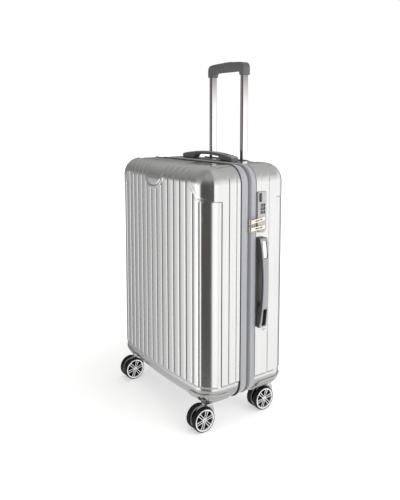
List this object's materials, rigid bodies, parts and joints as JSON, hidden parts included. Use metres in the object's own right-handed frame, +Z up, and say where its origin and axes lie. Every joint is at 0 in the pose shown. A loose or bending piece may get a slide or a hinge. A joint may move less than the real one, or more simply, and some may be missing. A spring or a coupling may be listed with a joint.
{
  "type": "hard shell suitcase",
  "caption": "Hard shell suitcase with a ribbed two part shell, side lock, carry handles, a telescopic handle and twin wheel casters.",
  "frame": {"origin": "on the floor under the middle of the whole object", "axes": "+Z up, +X towards the side with the carry handle and the lock, -Y towards the ribbed front, +Y towards the back with the trolley handle"},
  "size_m": [0.4695, 0.2832, 0.9365],
  "materials": {
    "shell": "silver painted hard plastic, satin gloss",
    "piping": "dark grey moulded piping",
    "zip_tape": "grey woven zip tape",
    "zip_teeth": "grey nylon coil",
    "gold_metal": "pale gold plated",
    "lock_face": "satin grey",
    "dark_plastic": "black",
    "dial": "light dial",
    "steel": "satin",
    "chrome": "bright",
    "lining": "dark grey polyester",
    "webbing": "black webbing",
    "tube": "bright anodised",
    "grey_plastic": "dark grey",
    "handle_plastic": "mid grey",
    "housing": "silver",
    "tyre": "black polyurethane",
    "rim": "silver painted"
  },
  "bodies": {
    "case": {"back_shell": "shell", "back_zip_tape": "zip_tape", "back_zip_teeth": "zip_teeth", "hinge_gusset": "lining", "zip_sliders": "gold_metal", "lock_body": "lock_face", "back_lining": "lining", "packing_straps": "webbing", "strap_buckle": "dark_plastic", "trolley_tray": "grey_plastic", "trolley_foot": "dark_plastic", "trolley_outer_tubes": "steel", "handle_mounts": "chrome", "handle_screws": "steel", "rear_caster_housings": "housing"},
    "lid": {"front_shell": "shell", "front_piping": "piping", "front_zip_tape": "zip_tape", "front_zip_teeth": "zip_teeth", "front_lining": "lining", "divider_panel": "lining", "emblem_plate": "chrome", "front_caster_housings": "housing"},
    "trolley_middle": {"trolley_middle_tubes": "tube"},
    "trolley_inner": {"trolley_inner_tubes": "tube", "trolley_grip": "grey_plastic"},
    "grip_button": {"grip_button": "dark_plastic"},
    "top_handle": {"top_handle_grip": "handle_plastic"},
    "side_handle": {"side_handle_grip": "handle_plastic"},
    "lock_button": {"lock_button": "dark_plastic"},
    "key_cylinder": {"key_cylinder": "chrome"},
    "dial_top": {"dial_top": "dial"},
    "dial_middle": {"dial_middle": "dial"},
    "dial_bottom": {"dial_bottom": "dial"},
    "upper_pull_tab": {"upper_pull_tab": "gold_metal"},
    "lower_pull_tab": {"lower_pull_tab": "gold_metal"},
    "front_left_caster": {"front_left_fork": "grey_plastic", "front_left_axle": "steel"},
    "front_left_inner_wheel": {"front_left_inner_tyre": "tyre", "front_left_inner_rim": "rim"},
    "front_left_outer_wheel": {"front_left_outer_tyre": "tyre", "front_left_outer_rim": "rim"},
    "front_right_caster": {"front_right_fork": "grey_plastic", "front_right_axle": "steel"},
    "front_right_inner_wheel": {"front_right_inner_tyre": "tyre", "front_right_inner_rim": "rim"},
    "front_right_outer_wheel": {"front_right_outer_tyre": "tyre", "front_right_outer_rim": "rim"},
    "rear_left_caster": {"rear_left_fork": "grey_plastic", "rear_left_axle": "steel"},
    "rear_left_inner_wheel": {"rear_left_inner_tyre": "tyre", "rear_left_inner_rim": "rim"},
    "rear_left_outer_wheel": {"rear_left_outer_tyre": "tyre", "rear_left_outer_rim": "rim"},
    "rear_right_caster": {"rear_right_fork": "grey_plastic", "rear_right_axle": "steel"},
    "rear_right_inner_wheel": {"rear_right_inner_tyre": "tyre", "rear_right_inner_rim": "rim"},
    "rear_right_outer_wheel": {"rear_right_outer_tyre": "tyre", "rear_right_outer_rim": "rim"}
  },
  "joints": [
    {"name": "lid_hinge", "type": "hinge", "parent": "case", "child": "lid", "pos_m": [-0.23755, 0.00877, 0.365], "axis": [0, 0, -1], "range_deg": [0, 180]},
    {"name": "handle_middle_slide", "type": "slide", "parent": "case", "child": "trolley_middle", "axis": [0, 0, 1], "range_m": [0, 0.12]},
    {"name": "handle_inner_slide", "type": "slide", "parent": "trolley_middle", "child": "trolley_inner", "axis": [0, 0, 1], "range_m": [-0.26, 0]},
    {"name": "grip_button_press", "type": "slide", "parent": "trolley_inner", "child": "grip_button", "axis": [0, 0, -1], "range_m": [0, 0.003], "stiffness_N_per_m": 400, "springref_m": -0.002},
    {"name": "top_handle_pull", "type": "slide", "parent": "case", "child": "top_handle", "axis": [0, 0, 1], "range_m": [0, 0.012], "stiffness_N_per_m": 300, "springref_m": -0.002},
    {"name": "side_handle_pull", "type": "slide", "parent": "case", "child": "side_handle", "axis": [1, 0, 0], "range_m": [0, 0.012], "stiffness_N_per_m": 300, "springref_m": -0.002},
    {"name": "lock_button_slide", "type": "slide", "parent": "case", "child": "lock_button", "axis": [0, 0, -1], "range_m": [0, 0.004], "stiffness_N_per_m": 300, "springref_m": -0.002},
    {"name": "key_turn", "type": "hinge", "parent": "case", "child": "key_cylinder", "pos_m": [0.2034, 0.05158, 0.583], "axis": [1, 0, 0], "range_deg": [0, 90]},
    {"name": "dial_top_turn", "type": "hinge", "parent": "case", "child": "dial_top", "pos_m": [0.20665, 0.04777, 0.5634], "axis": [0, 0, 1], "continuous": true},
    {"name": "dial_middle_turn", "type": "hinge", "parent": "case", "child": "dial_middle", "pos_m": [0.20665, 0.04777, 0.5545], "axis": [0, 0, 1], "continuous": true},
    {"name": "dial_bottom_turn", "type": "hinge", "parent": "case", "child": "dial_bottom", "pos_m": [0.20665, 0.04777, 0.5456], "axis": [0, 0, 1], "continuous": true},
    {"name": "upper_pull_swing", "type": "hinge", "parent": "case", "child": "upper_pull_tab", "pos_m": [0.2165, 0.00928, 0.523], "axis": [0, 0, -1], "range_deg": [0, 150]},
    {"name": "lower_pull_swing", "type": "hinge", "parent": "case", "child": "lower_pull_tab", "pos_m": [0.2165, 0.00928, 0.505], "axis": [0, 0, -1], "range_deg": [0, 150]},
    {"name": "front_left_swivel", "type": "hinge", "parent": "lid", "child": "front_left_caster", "pos_m": [-0.1916, -0.09073, 0.06], "axis": [0, 0, 1], "continuous": true},
    {"name": "front_left_inner_spin", "type": "hinge", "parent": "front_left_caster", "child": "front_left_inner_wheel", "pos_m": [-0.1916, -0.11013, 0.031], "axis": [1, 0, 0], "continuous": true},
    {"name": "front_left_outer_spin", "type": "hinge", "parent": "front_left_caster", "child": "front_left_outer_wheel", "pos_m": [-0.1916, -0.11013, 0.031], "axis": [1, 0, 0], "continuous": true},
    {"name": "front_right_swivel", "type": "hinge", "parent": "lid", "child": "front_right_caster", "pos_m": [0.1684, -0.09073, 0.06], "axis": [0, 0, 1], "continuous": true},
    {"name": "front_right_inner_spin", "type": "hinge", "parent": "front_right_caster", "child": "front_right_inner_wheel", "pos_m": [0.1684, -0.11013, 0.031], "axis": [1, 0, 0], "continuous": true},
    {"name": "front_right_outer_spin", "type": "hinge", "parent": "front_right_caster", "child": "front_right_outer_wheel", "pos_m": [0.1684, -0.11013, 0.031], "axis": [1, 0, 0], "continuous": true},
    {"name": "rear_left_swivel", "type": "hinge", "parent": "case", "child": "rear_left_caster", "pos_m": [-0.1916, 0.10627, 0.06], "axis": [0, 0, 1], "continuous": true},
    {"name": "rear_left_inner_spin", "type": "hinge", "parent": "rear_left_caster", "child": "rear_left_inner_wheel", "pos_m": [-0.1916, 0.08687, 0.031], "axis": [1, 0, 0], "continuous": true},
    {"name": "rear_left_outer_spin", "type": "hinge", "parent": "rear_left_caster", "child": "rear_left_outer_wheel", "pos_m": [-0.1916, 0.08687, 0.031], "axis": [1, 0, 0], "continuous": true},
    {"name": "rear_right_swivel", "type": "hinge", "parent": "case", "child": "rear_right_caster", "pos_m": [0.1684, 0.10627, 0.06], "axis": [0, 0, 1], "continuous": true},
    {"name": "rear_right_inner_spin", "type": "hinge", "parent": "rear_right_caster", "child": "rear_right_inner_wheel", "pos_m": [0.1684, 0.08687, 0.031], "axis": [1, 0, 0], "continuous": true},
    {"name": "rear_right_outer_spin", "type": "hinge", "parent": "rear_right_caster", "child": "rear_right_outer_wheel", "pos_m": [0.1684, 0.08687, 0.031], "axis": [1, 0, 0], "continuous": true}
  ]
}
